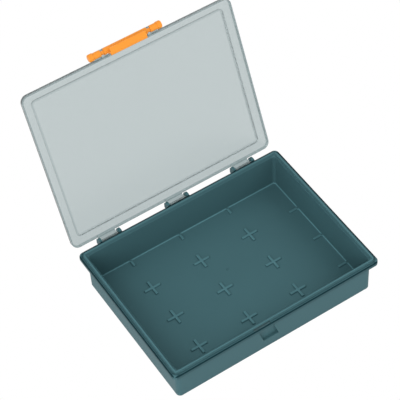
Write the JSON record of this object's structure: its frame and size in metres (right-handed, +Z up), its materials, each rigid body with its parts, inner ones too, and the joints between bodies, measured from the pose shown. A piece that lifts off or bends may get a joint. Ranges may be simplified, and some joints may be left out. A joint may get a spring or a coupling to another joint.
{
  "type": "assortment case",
  "caption": "Shallow open-tray assortment case with a clip-on see-through lid and a swinging hook latch.",
  "frame": {"origin": "middle of the flat underside of the tray", "axes": "+Z up, X along the long side, the front with the latch faces -Y, the hinges are at +Y"},
  "size_m": [0.2416, 0.2642, 0.2192],
  "materials": {
    "teal_plastic": "fine satin, dark teal",
    "clear_grey_plastic": "see-through grey-green",
    "orange_plastic": "orange"
  },
  "bodies": {
    "tray": {"case_base": "teal_plastic"},
    "lid": {"lid": "clear_grey_plastic"},
    "latch": {"latch": "orange_plastic"}
  },
  "joints": [
    {"name": "lid_hinge", "type": "hinge", "parent": "tray", "child": "lid", "pos_m": [0, 0.093, 0.0398], "axis": [1, 0, 0], "range_deg": [0, 112]},
    {"name": "latch_hinge", "type": "hinge", "parent": "lid", "child": "latch", "pos_m": [0, 0.17001, 0.21091], "axis": [1, 0, 0], "range_deg": [-60, 21]}
  ]
}
